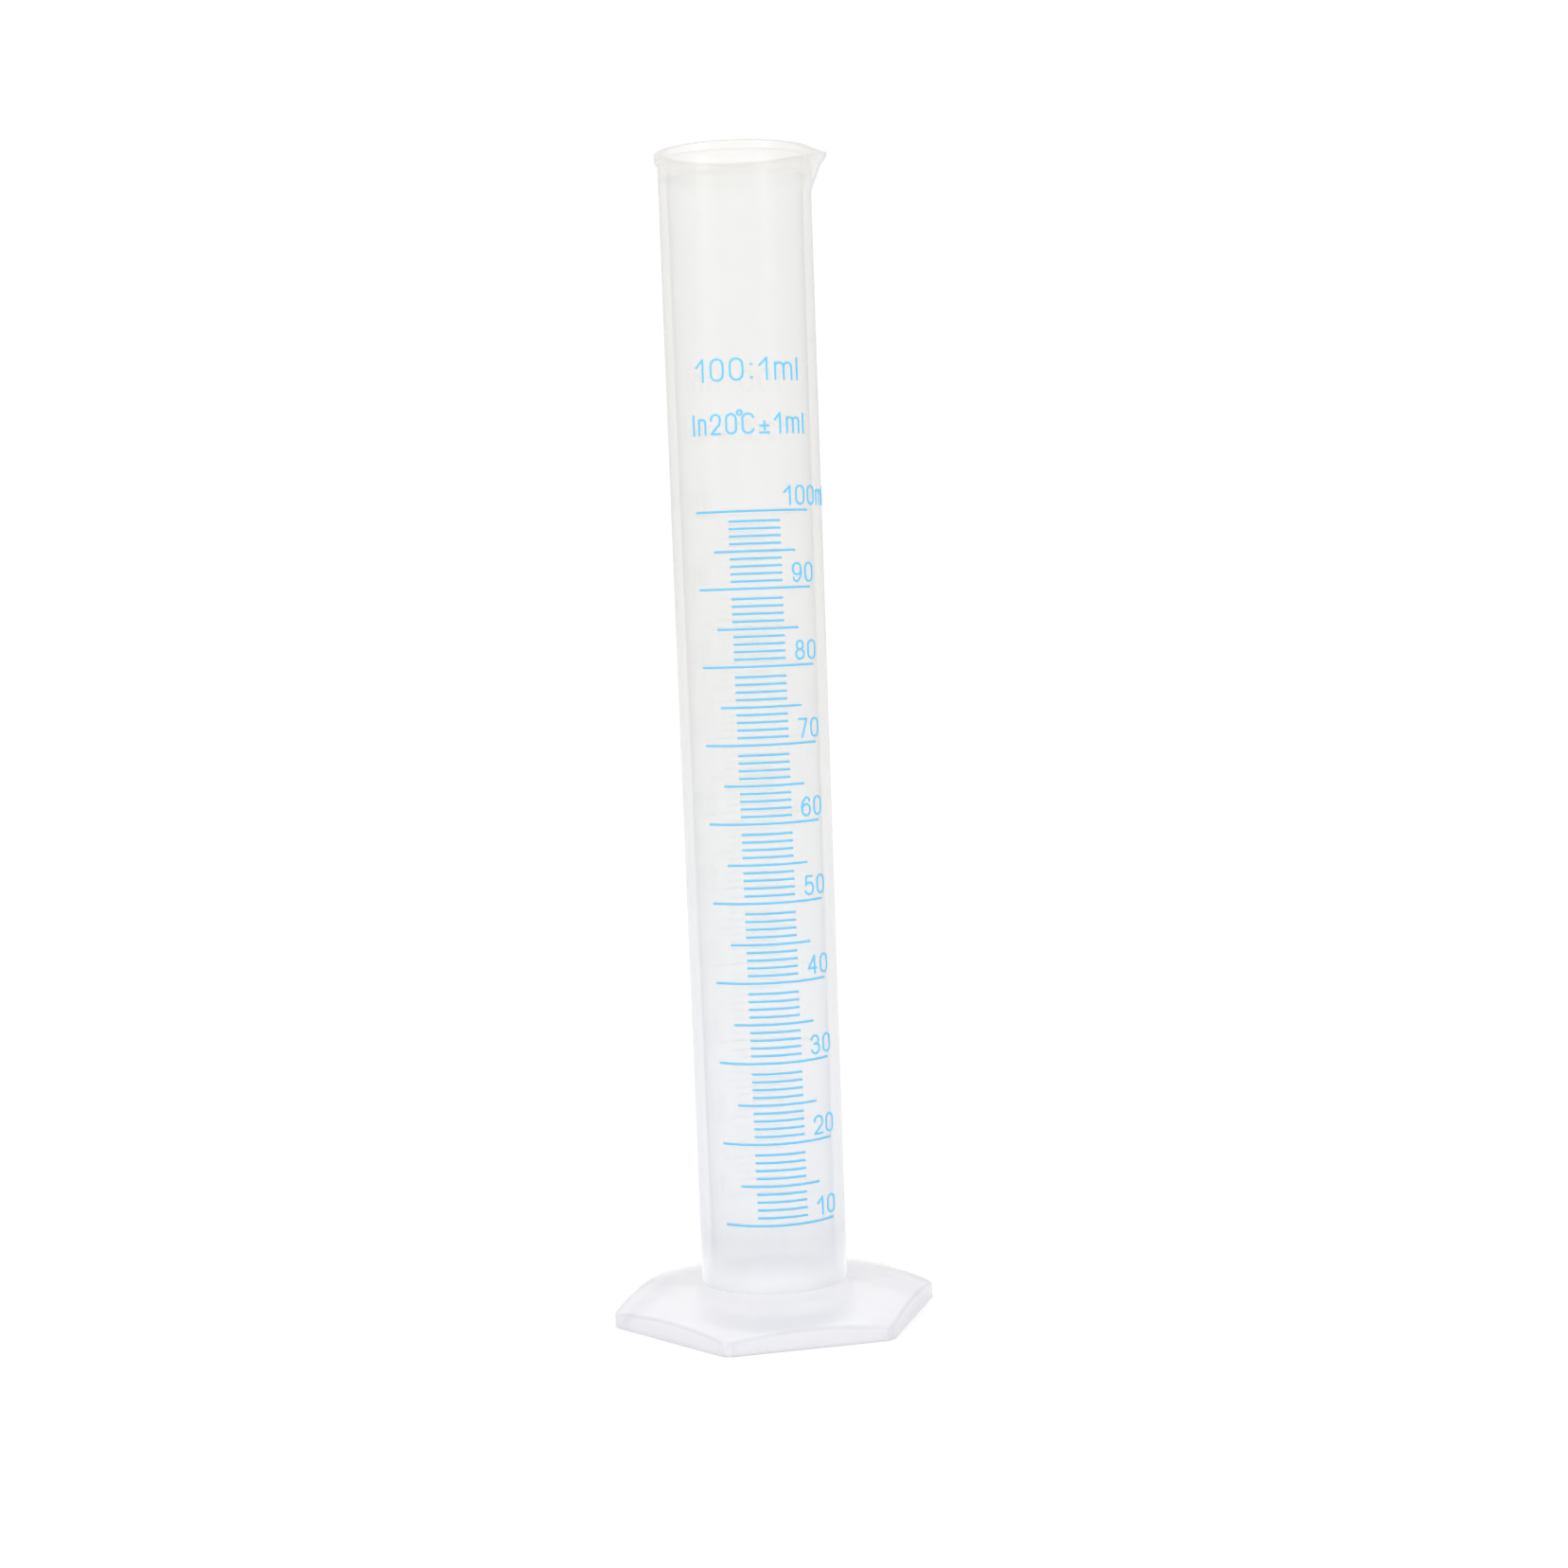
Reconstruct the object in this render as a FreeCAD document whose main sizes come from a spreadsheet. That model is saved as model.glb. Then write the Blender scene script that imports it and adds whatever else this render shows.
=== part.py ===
import FreeCAD, Part
import math
import os

# Measuring cylinder, 100 ml.  Origin: centre of the foot, on the table.  +Z up, spout towards +X.
# The scale is read from -Y.  Millimetres and degrees.

DIMENSIONS = (
    ("height", 250.0, "table to rim"),
    ("tube_radius", 15.85, "outside of the tube at table level"),
    ("tube_flare", 0.35, "how much wider the outside is at the rim"),
    ("wall_low", 2.48, "tube wall at the floor of the bore"),
    ("wall_high", 1.8, "tube wall at the rim"),
    ("tube_end_height", 2.6, "underside of the closed end above the table"),
    ("floor_thickness", 2.4, "closed end of the tube"),
    ("end_round", 1.5, "outer edge of the closed end"),
    ("bore_round", 2.0, "inner corner at the floor"),
    ("rim_band_height", 2.6, "thickened band round the mouth"),
    ("rim_band_step", 0.7, "how far the band stands out"),
    ("rim_round", 0.45, "rounded edges of the band"),
    ("spout_reach", 4.7, "spout tip beyond the tube's outside"),
    ("spout_drop", 10.0, "where the spout leaves the tube, below the rim"),
    ("spout_tip_radius", 1.2, "rounded nose of the spout"),
    ("spout_lip", 0.5, "how far the lip stands out round the spout"),
    ("foot_across_flats", 62.4, "hexagon"),
    ("foot_corner_radius", 3.0, "upright corners"),
    ("foot_crown_height", 9.0, "where the dome would peak on the axis"),
    ("foot_dome_radius", 112.0, "curvature of the domed top"),
    ("foot_wall", 1.8, "foot shell"),
    ("foot_edge_round", 0.9, "rounded rim between dome and sides"),
    ("socket_wall", 1.2, "collar round the tube's closed end"),
    ("socket_foot_gap", 0.8, "underside of the collar above the table"),
    ("socket_ledge", 2.6, "width of the ledge that the tube stands on"),
    ("seat_clearance", 0.05, "round the tube in its socket"),
    ("mark_thickness", 0.12, "how proud the marks stand"),
    ("line_width", 0.42, "graduation lines"),
    ("stroke_width", 0.4, "strokes of numerals and letters"),
    ("long_half_angle", 46.3, "ten millilitre lines"),
    ("medium_half_angle", 31.8, "five millilitre lines"),
    ("short_half_angle", 19.6, "one millilitre lines"),
    ("scale_angle", -96.2, "middle of the front scale, about the axis"),
    ("scale_skew", -0.0192, "degrees that the print leans per millimetre of height"),
    ("fine_pitch_factor", 0.968, "one millilitre steps against a tenth of the ten millilitre step"),
    ("numeral_height", 3.8, "centre line height of a numeral"),
    ("numeral_rise", 1.2, "numeral above its line"),
    ("numeral_start", 8.15, "arc from the scale's middle to a two-digit numeral"),
    ("hundred_start", 6.8, "arc from the scale's middle to the numeral 100"),
    ("capacity_height", 4.4, "upper inscription"),
    ("capacity_rise", 27.1, "upper inscription above the 100 ml line"),
    ("tolerance_height", 4.0, "lower inscription"),
    ("tolerance_rise", 16.1, "lower inscription above the 100 ml line"),
)

MICROLITRES_PER_ML = 1000.0   # a millilitre is a thousand cubic millimetres
FULL_SCALE_ML = 100
LETTER_GAP = 0.34             # between letters, in letter heights
NARROW_LETTERS = 0.86         # width factor of the lower inscription
STENCIL_DEPTH = 1.0           # how far a letter's stencil reaches either side of the surface

# A glyph is its width in letter heights and its strokes.  A stroke starts at a point and goes on
# through points (straight) or pairs of points (an arc through the first to the second).  "C" stands
# for degrees Celsius, so it carries the small degree ring at its upper left.
GLYPHS = {
    "0": (0.60, [((0, .7), ((.5, 1), (1, .7)), (1, .3), ((.5, 0), (0, .3)), (0, .7))]),
    "1": (0.45, [((0, .66), (.8, 1), (.8, 0))]),
    "2": (0.57, [((0, .72), ((.5, 1), (1, .7)), ((.93, .5), (.7, .38)), (0, 0), (1, 0))]),
    "3": (0.57, [((0, .8), ((.45, 1), (.9, .76)), ((.7, .56), (.35, .53))),
                 ((.35, .53), ((.85, .5), (1, .27)), ((.5, 0), (0, .2)))]),
    "4": (0.60, [((.75, 0), (.75, 1), (0, .3)), ((0, .3), (1, .3))]),
    "5": (0.57, [((.9, 1), (.15, 1), (.06, .52)), ((.06, .52), ((.55, .65), (1, .33)), ((.5, 0), (0, .18)))]),
    "6": (0.57, [((0, .32), ((.5, .62), (1, .32)), ((.5, 0), (0, .32))),
                 ((0, .32), ((.14, .8), (.55, 1)), ((.8, .95), (.93, .8)))]),
    "7": (0.57, [((0, 1), (1, 1), (.35, 0))]),
    "8": (0.57, [((.1, .77), ((.5, 1), (.9, .77)), ((.5, .54), (.1, .77))),
                 ((0, .27), ((.5, .54), (1, .27)), ((.5, 0), (0, .27)))]),
    "9": (0.57, [((1, .68), ((.5, .38), (0, .68)), ((.5, 1), (1, .68))),
                 ((1, .68), ((.86, .2), (.45, 0)), ((.2, .05), (.07, .2)))]),
    ":": (0.12, [((.3, .1), (.7, .1)), ((.3, .72), (.7, .72))]),
    "m": (0.92, [((0, 0), (0, .78)), ((0, .52), ((.25, .78), (.5, .52)), (.5, 0)),
                 ((.5, .52), ((.75, .78), (1, .52)), (1, 0))]),
    "l": (0.02, [((.5, 0), (.5, 1))]),
    "I": (0.02, [((.5, 0), (.5, 1))]),
    "n": (0.45, [((0, 0), (0, .78)), ((0, .5), ((.5, .78), (1, .5)), (1, 0))]),
    "C": (0.66, [((1, .8), ((.5, 1), (0, .62)), (0, .38), ((.5, 0), (1, .2))),
                 ((-.48, 1.06), ((-.26, 1.18), (-.04, 1.06)), ((-.26, .94), (-.48, 1.06)))]),
    "±": (0.55, [((0, .36), (1, .36)), ((.5, .14), (.5, .58)), ((0, 0), (1, 0))]),
}


def make_sheet(doc):
    sheet = doc.addObject("Spreadsheet::Sheet", "Dimensions")
    for row, (alias, value, note) in enumerate(DIMENSIONS, start=1):
        sheet.set(f"A{row}", alias)
        sheet.set(f"B{row}", str(value))
        sheet.set(f"C{row}", note)
        sheet.setAlias(f"B{row}", alias)
    doc.recompute()
    return sheet


def bind(thing, **expressions):
    """Tie properties to the sheet: each word that names a cell is read from the sheet."""
    aliases = sorted((alias for alias, _, _ in DIMENSIONS), key=len, reverse=True)
    for path, text in expressions.items():
        for place, alias in enumerate(aliases):
            text = text.replace(alias, f"@{place:02d}")
        for place, alias in enumerate(aliases):
            text = text.replace(f"@{place:02d}", f"Dimensions.{alias}")
        thing.setExpression(path.replace("__", "."), text)


def primitive(doc, kind, name, **expressions):
    thing = doc.addObject(kind, name)
    bind(thing, **expressions)
    return thing


def boolean(doc, kind, name, base, tool):
    thing = doc.addObject(kind, name)
    thing.Base, thing.Tool = base, tool
    return thing


def fused(doc, name, *shapes):
    thing = doc.addObject("Part::MultiFuse", name)
    thing.Shapes = list(shapes)
    thing.Refine = True
    return thing


def rounded(doc, name, base, radius, chosen):
    """Fillet the edges of base that chosen() picks."""
    doc.recompute()
    thing = doc.addObject("Part::Fillet", name)
    thing.Base = base
    picked = [n for n, edge in enumerate(base.Shape.Edges, start=1) if chosen(edge)]
    thing.Edges = [(n, radius, radius) for n in picked]
    return thing


def feature(doc, name, shape):
    thing = doc.addObject("Part::Feature", name)
    thing.Shape = shape
    return thing


def level_edge(height):
    """True for an edge that lies flat at this height."""
    return lambda edge: abs(edge.BoundBox.ZMin - height) < 1e-4 and abs(edge.BoundBox.ZMax - height) < 1e-4


# Expressions and the same sizes as numbers.

OUTSIDE = "(tube_radius + tube_flare * ({z}) / height)"
BORE_TOP = "(tube_radius + tube_flare - wall_high)"
FLOOR = "(tube_end_height + floor_thickness)"
BORE_FLOOR = "(" + OUTSIDE.format(z=FLOOR) + " - wall_low)"
RIM_BAND_FOOT = "height - rim_band_height"


def outside_radius(dims, z):
    return dims.tube_radius + dims.tube_flare * z / dims.height


def level_of(dims, millilitres):
    """Height of the liquid's surface above the table, from the volume of the tapered bore."""
    floor = dims.tube_end_height + dims.floor_thickness
    low = outside_radius(dims, floor) - dims.wall_low
    high = dims.tube_radius + dims.tube_flare - dims.wall_high
    taper = (high - low) / (dims.height - floor)
    volume = millilitres * MICROLITRES_PER_ML
    top = (low ** 3 + 3 * taper * volume / math.pi) ** (1 / 3)
    return floor + 3 * volume / (math.pi * (low ** 2 + low * top + top ** 2))


def line_level(dims, millilitres):
    """Height of a graduation: the ten millilitre lines by volume, the rest in even steps between."""
    decade = millilitres // 10 * 10
    base = level_of(dims, decade)
    step = (level_of(dims, decade + 10) - base) / 10 * dims.fine_pitch_factor
    return base + step * (millilitres - decade)


# The measuring tube.

def spout_outline(radius, tip, nose):
    """Outline of the spout at the mouth: two lines tangent to the tube, meeting in a rounded nose."""
    half = math.asin(radius / tip)
    centre = tip - nose / math.sin(half)
    side = FreeCAD.Vector(centre + nose * math.sin(half), nose * math.cos(half), 0)
    tangent = FreeCAD.Vector(radius * math.sin(half), radius * math.cos(half), 0)
    mirror = lambda v: FreeCAD.Vector(v.x, -v.y, 0)
    front = FreeCAD.Vector(centre + nose, 0, 0)
    return [
        Part.Arc(mirror(side), front, side).toShape(),
        Part.LineSegment(side, tangent).toShape(),
        Part.LineSegment(tangent, mirror(tangent)).toShape(),
        Part.LineSegment(mirror(tangent), mirror(side)).toShape(),
    ]


def spout_solid(doc, name, dims, inset):
    """The V of the spout, from a point on the tube up to its outline at the mouth.

    inset moves the V inwards by that much: none for the outside, the wall for the inside."""
    start_height = dims.height - dims.spout_drop
    radius = dims.tube_radius + dims.tube_flare - inset
    tip = dims.tube_radius + dims.tube_flare + dims.spout_reach - dims.spout_lip
    tip -= inset / math.sin(math.asin(radius / tip))
    nose = max(dims.spout_tip_radius - inset, dims.spout_tip_radius / 3)
    mouth = feature(doc, name + "_mouth", Part.Wire(spout_outline(radius, tip, nose)))
    mouth.Placement.Base.z = dims.height
    start = FreeCAD.Vector(outside_radius(dims, start_height) - inset, 0, start_height)
    point = feature(doc, name + "_start", Part.Vertex(start))
    loft = doc.addObject("Part::Loft", name)
    loft.Sections = [point, mouth]
    loft.Solid, loft.Ruled = True, True
    return loft


def make_rim_band(doc, dims):
    """The thickened band: a ring round the mouth that runs out into the lip of the spout."""
    ring = primitive(doc, "Part::Cylinder", "band_ring",
                     Radius="tube_radius + tube_flare + rim_band_step", Height="rim_band_height")
    radius = dims.tube_radius + dims.tube_flare + dims.rim_band_step
    tip = dims.tube_radius + dims.tube_flare + dims.spout_reach
    nose = dims.spout_tip_radius
    outline = feature(doc, "lip_outline", Part.Wire(spout_outline(radius, tip, nose)))
    lip = primitive(doc, "Part::Extrusion", "band_lip", LengthFwd="rim_band_height")
    lip.Base = outline
    lip.DirMode, lip.Dir, lip.Solid = "Custom", FreeCAD.Vector(0, 0, 1), True
    band = fused(doc, "band_plain", ring, lip)
    soft = rounded(doc, "rim_band", band, dims.rim_round,
                   lambda e: level_edge(0)(e) or level_edge(dims.rim_band_height)(e))
    bind(soft, Placement__Base__z=RIM_BAND_FOOT)
    return soft


def make_tube(doc, dims):
    body = primitive(doc, "Part::Cone", "tube_body", Radius1=OUTSIDE.format(z="tube_end_height"),
                     Radius2="tube_radius + tube_flare", Height="height - tube_end_height",
                     Placement__Base__z="tube_end_height")
    soft_body = rounded(doc, "tube_body_round", body, dims.end_round, level_edge(dims.tube_end_height))
    solid = fused(doc, "tube_solid", soft_body, spout_solid(doc, "spout_outside", dims, 0.0),
                  make_rim_band(doc, dims))
    bore = primitive(doc, "Part::Cone", "bore_plain", Radius1=BORE_FLOOR, Radius2=BORE_TOP,
                     Height="height - " + FLOOR, Placement__Base__z=FLOOR)
    floor = dims.tube_end_height + dims.floor_thickness
    soft_bore = rounded(doc, "bore_round", bore, dims.bore_round, level_edge(floor))
    hollow = fused(doc, "tube_hollow", soft_bore, spout_solid(doc, "spout_inside", dims, dims.wall_high))
    return boolean(doc, "Part::Cut", "measuring_tube", solid, hollow)


# The foot.

def hexagon_block(doc, name, dims, inset, top, corner):
    """Hexagonal block with rounded upright corners, its flats moved in by inset, a corner at +X."""
    prism = primitive(doc, "Part::Prism", name + "_prism",
                      Circumradius=f"(foot_across_flats / 2 - {inset}) / cos(30 deg)", Height=top)
    prism.Polygon = 6
    upright = lambda edge: edge.BoundBox.ZLength > 1.0
    return rounded(doc, name, prism, corner, upright)


def domed(doc, name, block, inset):
    """The block cut off by the dome, its surface moved down by inset."""
    ball = primitive(doc, "Part::Sphere", name + "_ball", Radius=f"foot_dome_radius - {inset}",
                     Placement__Base__z="foot_crown_height - foot_dome_radius")
    return boolean(doc, "Part::Common", name, block, ball)


def make_foot(doc, dims):
    block = hexagon_block(doc, "foot_block", dims, "0", "foot_crown_height", dims.foot_corner_radius)
    crown = domed(doc, "foot_crown", block, "0")
    side_height = dims.foot_crown_height / 10
    on_rim = lambda edge: edge.BoundBox.ZMin > side_height and edge.BoundBox.DiagonalLength > 1e-3
    soft_crown = rounded(doc, "foot_outside", crown, dims.foot_edge_round, on_rim)
    inner_corner = max(dims.foot_corner_radius - dims.foot_wall, dims.foot_corner_radius / 4)
    cavity_block = hexagon_block(doc, "cavity_block", dims, "foot_wall", "foot_crown_height", inner_corner)
    cavity = domed(doc, "foot_cavity", cavity_block, "foot_wall")
    collar = primitive(doc, "Part::Cylinder", "socket_collar",
                       Radius=OUTSIDE.format(z="foot_crown_height") + " + seat_clearance + socket_wall",
                       Height="foot_crown_height", Placement__Base__z="socket_foot_gap")
    round_collar = boolean(doc, "Part::Cut", "cavity_round_collar", cavity, collar)
    shell = boolean(doc, "Part::Cut", "foot_shell", soft_crown, round_collar)
    seat = primitive(doc, "Part::Cone", "socket_seat",
                     Radius1=OUTSIDE.format(z="tube_end_height") + " + seat_clearance",
                     Radius2=OUTSIDE.format(z="foot_crown_height") + " + seat_clearance",
                     Height="foot_crown_height - tube_end_height", Placement__Base__z="tube_end_height")
    drain = primitive(doc, "Part::Cylinder", "socket_opening",
                      Radius=OUTSIDE.format(z="tube_end_height") + " - socket_ledge",
                      Height="foot_crown_height")
    return boolean(doc, "Part::Cut", "hexagonal_foot", shell, fused(doc, "socket_hollow", seat, drain))


# Printed and raised marks: a thin film round the tube, kept only where a stencil lets it through.

def make_film(doc, side):
    span = RIM_BAND_FOOT + " - foot_crown_height"
    place = {"Height": span, "Placement__Base__z": "foot_crown_height"}
    low, high = OUTSIDE.format(z="foot_crown_height"), OUTSIDE.format(z=RIM_BAND_FOOT)
    skin = primitive(doc, "Part::Cone", side + "_film_outside", Radius1=low + " + mark_thickness",
                     Radius2=high + " + mark_thickness", **place)
    core = primitive(doc, "Part::Cone", side + "_film_inside", Radius1=low, Radius2=high, **place)
    return boolean(doc, "Part::Cut", side + "_film", skin, core)


def line_stencil(doc, name, dims, turn, millilitres, half_angle):
    """A thin wedge about the axis, as wide as the line and as long as its arc."""
    level = line_level(dims, millilitres)
    wedge = primitive(doc, "Part::Cylinder", name, Radius=f"tube_radius + tube_flare + {STENCIL_DEPTH}",
                      Height="line_width", Angle=f"2 * {half_angle}")
    middle = turn + dims.scale_angle + dims.scale_skew * (level - dims.height / 2)
    start = middle - dims.get(half_angle)
    turned = FreeCAD.Rotation(FreeCAD.Vector(0, 0, 1), start)
    wedge.Placement = FreeCAD.Placement(FreeCAD.Vector(0, 0, level - dims.line_width / 2), turned)
    return wedge


def make_lines(doc, dims, film, side, turn, rank, values, half_angle):
    wedges = [line_stencil(doc, f"{side}_{rank}_{ml}", dims, turn, ml, half_angle) for ml in values]
    stencil = doc.addObject("Part::Compound", f"{side}_{rank}_stencil")
    stencil.Links = wedges
    return boolean(doc, "Part::Common", f"{side}_{rank}_lines", film, stencil)


def bar_outline(start, end, pen):
    """Outline of a straight stroke with round ends."""
    along = (end - start).normalize() * (pen / 2)
    aside = FreeCAD.Vector(-along.y, along.x, 0)
    return Part.Wire([
        Part.LineSegment(start + aside, end + aside).toShape(),
        Part.Arc(end + aside, end + along, end - aside).toShape(),
        Part.LineSegment(end - aside, start - aside).toShape(),
        Part.Arc(start - aside, start - along, start + aside).toShape(),
    ])


def stroke_solid(stroke, width, height, pen):
    """One pen stroke of a glyph: its path, widened by the pen and given depth."""
    place = lambda point: FreeCAD.Vector(point[0] * width, point[1] * height, 0)
    here, edges = place(stroke[0]), []
    for step in stroke[1:]:
        if isinstance(step[0], tuple):
            end = place(step[1])
            edges.append(Part.Arc(here, place(step[0]), end).toShape())
        else:
            end = place(step)
            edges.append(Part.LineSegment(here, end).toShape())
        here = end
    path = Part.Wire(edges)
    if len(edges) == 1:
        outline = Part.Face(bar_outline(place(stroke[0]), here, pen))
    else:
        outline = Part.Face(path.makeOffset2D(pen / 2))
    if path.isClosed():
        outline = outline.cut(Part.Face(path.makeOffset2D(-pen / 2)))
    outline.translate(FreeCAD.Vector(0, 0, -STENCIL_DEPTH))
    return outline.extrude(FreeCAD.Vector(0, 0, 2 * STENCIL_DEPTH))


def glyph_stencil(dims, glyph, height, stretch, angle, level):
    """A glyph's stencil, standing on the tube at an angle and a level."""
    width, strokes = GLYPHS[glyph]
    solids = [stroke_solid(s, width * height * stretch, height, dims.stroke_width) for s in strokes]
    shape = solids[0].fuse(solids[1:]) if len(solids) > 1 else solids[0]
    out = math.radians(angle)
    radial = FreeCAD.Vector(math.cos(out), math.sin(out), 0)
    tangent = FreeCAD.Vector(-math.sin(out), math.cos(out), 0)
    half = width * height * stretch / 2
    foot = radial * outside_radius(dims, level) - tangent * half + FreeCAD.Vector(0, 0, level)
    turn = FreeCAD.Rotation(tangent, FreeCAD.Vector(0, 0, 1), radial, "ZXY")
    shape.Placement = FreeCAD.Placement(foot, turn)
    return shape


def text_length(text, height, stretch):
    widths = sum(GLYPHS[glyph][0] for glyph in text)
    return (widths * stretch + LETTER_GAP * (len(text) - 1)) * height


def make_text(doc, dims, film, name, text, height, level, turn, start, stretch=1.0):
    """Text along the tube, its first letter an arc of start from the scale's middle."""
    radius = outside_radius(dims, level)
    middle = turn + dims.scale_angle + dims.scale_skew * (level - dims.height / 2)
    along, shapes = start, []
    for glyph in text:
        width = GLYPHS[glyph][0] * height * stretch
        angle = middle + math.degrees((along + width / 2) / radius)
        shapes.append(glyph_stencil(dims, glyph, height, stretch, angle, level))
        along += width + LETTER_GAP * height
    stencil = feature(doc, name + "_stencil", Part.Compound(shapes))
    return boolean(doc, "Part::Common", name, film, stencil)


def make_scale(doc, dims, side, turn):
    film = make_film(doc, side)
    tens = range(10, FULL_SCALE_ML + 1, 10)
    fives = range(15, FULL_SCALE_ML, 10)
    ones = [ml for ml in range(10, FULL_SCALE_ML) if ml % 5]
    nodes = [
        make_lines(doc, dims, film, side, turn, "ten_ml", tens, "long_half_angle"),
        make_lines(doc, dims, film, side, turn, "five_ml", fives, "medium_half_angle"),
        make_lines(doc, dims, film, side, turn, "one_ml", ones, "short_half_angle"),
    ]
    letter = dims.numeral_height
    for ml in tens:
        start = dims.hundred_start if ml == FULL_SCALE_ML else dims.numeral_start
        level = line_level(dims, ml) + dims.numeral_rise
        nodes.append(make_text(doc, dims, film, f"{side}_numeral_{ml}", str(ml), letter, level, turn, start))
    unit_start = dims.hundred_start + text_length("100", letter, 1.0) + LETTER_GAP * letter
    nodes.append(make_text(doc, dims, film, side + "_unit_mark", "ml", letter, level, turn, unit_start))
    full = line_level(dims, FULL_SCALE_ML)
    for name, text, height, rise, stretch in (
            ("capacity_text", "100:1ml", dims.capacity_height, dims.capacity_rise, 1.0),
            ("tolerance_text", "In20C±1ml", dims.tolerance_height, dims.tolerance_rise, NARROW_LETTERS)):
        start = -text_length(text, height, stretch) / 2
        nodes.append(make_text(doc, dims, film, f"{side}_{name}", text, height, full + rise, turn,
                               start, stretch))
    return nodes


class Sizes:
    """The sheet's values as plain numbers."""

    def __init__(self, sheet):
        for alias, _, _ in DIMENSIONS:
            setattr(self, alias, float(sheet.get(alias)))

    def get(self, alias):
        return getattr(self, alias)


def check(doc, nodes):
    for thing in doc.Objects:
        if "Invalid" in thing.State or "Error" in thing.State:
            raise RuntimeError(f"{thing.Name} failed: {thing.State}")
    for node in nodes:
        if node.Shape.isNull() or not node.Shape.isValid() or not node.Shape.Solids:
            raise RuntimeError(f"{node.Label} has no valid solid")


def main():
    doc = FreeCAD.newDocument("measuring_cylinder")
    dims = Sizes(make_sheet(doc))
    nodes = [make_tube(doc, dims), make_foot(doc, dims)]
    nodes += make_scale(doc, dims, "front", 0.0)
    nodes += make_scale(doc, dims, "rear", 180.0)
    doc.recompute()
    check(doc, nodes)
    os.makedirs("parts", exist_ok=True)
    for node in nodes:
        node.Shape.exportStep(f"parts/{node.Label}.step")
        print(f"{node.Label}: {len(node.Shape.Solids)} solids, {node.Shape.Volume:.2f} mm3")


main()
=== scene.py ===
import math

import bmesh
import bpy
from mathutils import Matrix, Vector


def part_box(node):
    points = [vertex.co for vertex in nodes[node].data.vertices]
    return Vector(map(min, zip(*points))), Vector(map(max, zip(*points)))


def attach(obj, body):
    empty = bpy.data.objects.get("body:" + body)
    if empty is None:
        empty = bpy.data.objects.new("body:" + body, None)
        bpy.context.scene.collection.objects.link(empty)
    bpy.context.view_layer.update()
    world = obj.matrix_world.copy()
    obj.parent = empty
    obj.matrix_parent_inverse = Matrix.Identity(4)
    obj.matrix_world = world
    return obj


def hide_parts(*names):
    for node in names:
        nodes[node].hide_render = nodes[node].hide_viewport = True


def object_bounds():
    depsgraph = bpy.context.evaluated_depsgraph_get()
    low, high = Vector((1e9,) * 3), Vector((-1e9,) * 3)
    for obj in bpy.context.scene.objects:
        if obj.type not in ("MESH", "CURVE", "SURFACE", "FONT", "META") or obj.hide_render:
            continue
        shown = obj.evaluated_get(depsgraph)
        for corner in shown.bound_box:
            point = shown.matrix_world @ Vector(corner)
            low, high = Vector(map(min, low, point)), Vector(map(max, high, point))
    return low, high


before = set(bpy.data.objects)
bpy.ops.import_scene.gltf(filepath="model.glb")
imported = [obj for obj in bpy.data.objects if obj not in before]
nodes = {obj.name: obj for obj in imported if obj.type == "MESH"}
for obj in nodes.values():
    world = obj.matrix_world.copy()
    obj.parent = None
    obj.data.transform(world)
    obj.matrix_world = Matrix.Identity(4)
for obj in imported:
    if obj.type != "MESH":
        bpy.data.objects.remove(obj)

# %% [markdown]
# # A milky plastic measuring cylinder
# This lesson dresses a finished engineering model of a 100 ml measuring cylinder.  The frame that was
# just loaded holds every part at its true size and place, in metres, with +Z up, the pouring spout
# towards +X and the printed scale facing -Y.  Nothing here moves or resizes a part: where a part needs
# a finer surface, a new piece is modelled on the same sizes and takes its place.

MM = 0.001
cad_low, cad_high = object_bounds()
print("model size in mm:", [round(c / MM, 1) for c in cad_high - cad_low], "with", len(nodes), "nodes")

# %% [markdown]
# ## Camera
# The cylinder was looked at from a little above its middle, from just over half a metre away, with a
# slight tilt that makes it lean to the left.  A camera is easiest to reason about as a place, a
# direction and a roll, so the three axes of its view are worked out and put in its matrix.

# %% Camera
CAMERA_DISTANCE = 0.5743
CAMERA_HEIGHT = 0.1585
CAMERA_AZIMUTH = math.radians(-12.77)
TURN_RIGHT = math.radians(0.589)
LOOK_DOWN = math.radians(4.289)
ROLL = math.radians(2.071)
SENSOR_WIDTH = 36.0
LENS = 61.32


def make_camera():
    data = bpy.data.cameras.new("camera")
    data.sensor_width, data.lens = SENSOR_WIDTH, LENS
    data.clip_start, data.clip_end = 0.01, 50.0
    camera = bpy.data.objects.new("camera", data)
    bpy.context.scene.collection.objects.link(camera)
    heading = CAMERA_AZIMUTH - TURN_RIGHT
    level = Vector((-math.sin(heading), math.cos(heading), 0))
    forward = level * math.cos(LOOK_DOWN) - Vector((0, 0, math.sin(LOOK_DOWN)))
    right = forward.cross(Vector((0, 0, 1))).normalized()
    up = right.cross(forward)
    tilted_right = right * math.cos(ROLL) - up * math.sin(ROLL)
    tilted_up = right * math.sin(ROLL) + up * math.cos(ROLL)
    axes = Matrix((tilted_right, tilted_up, -forward)).transposed().to_4x4()
    place = Vector((math.sin(CAMERA_AZIMUTH), -math.cos(CAMERA_AZIMUTH), 0)) * CAMERA_DISTANCE
    place.z = CAMERA_HEIGHT
    camera.matrix_world = Matrix.Translation(place) @ axes
    bpy.context.scene.camera = camera
    return camera


camera = make_camera()
print("camera at", [round(c, 4) for c in camera.location], "lens", LENS)

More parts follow.
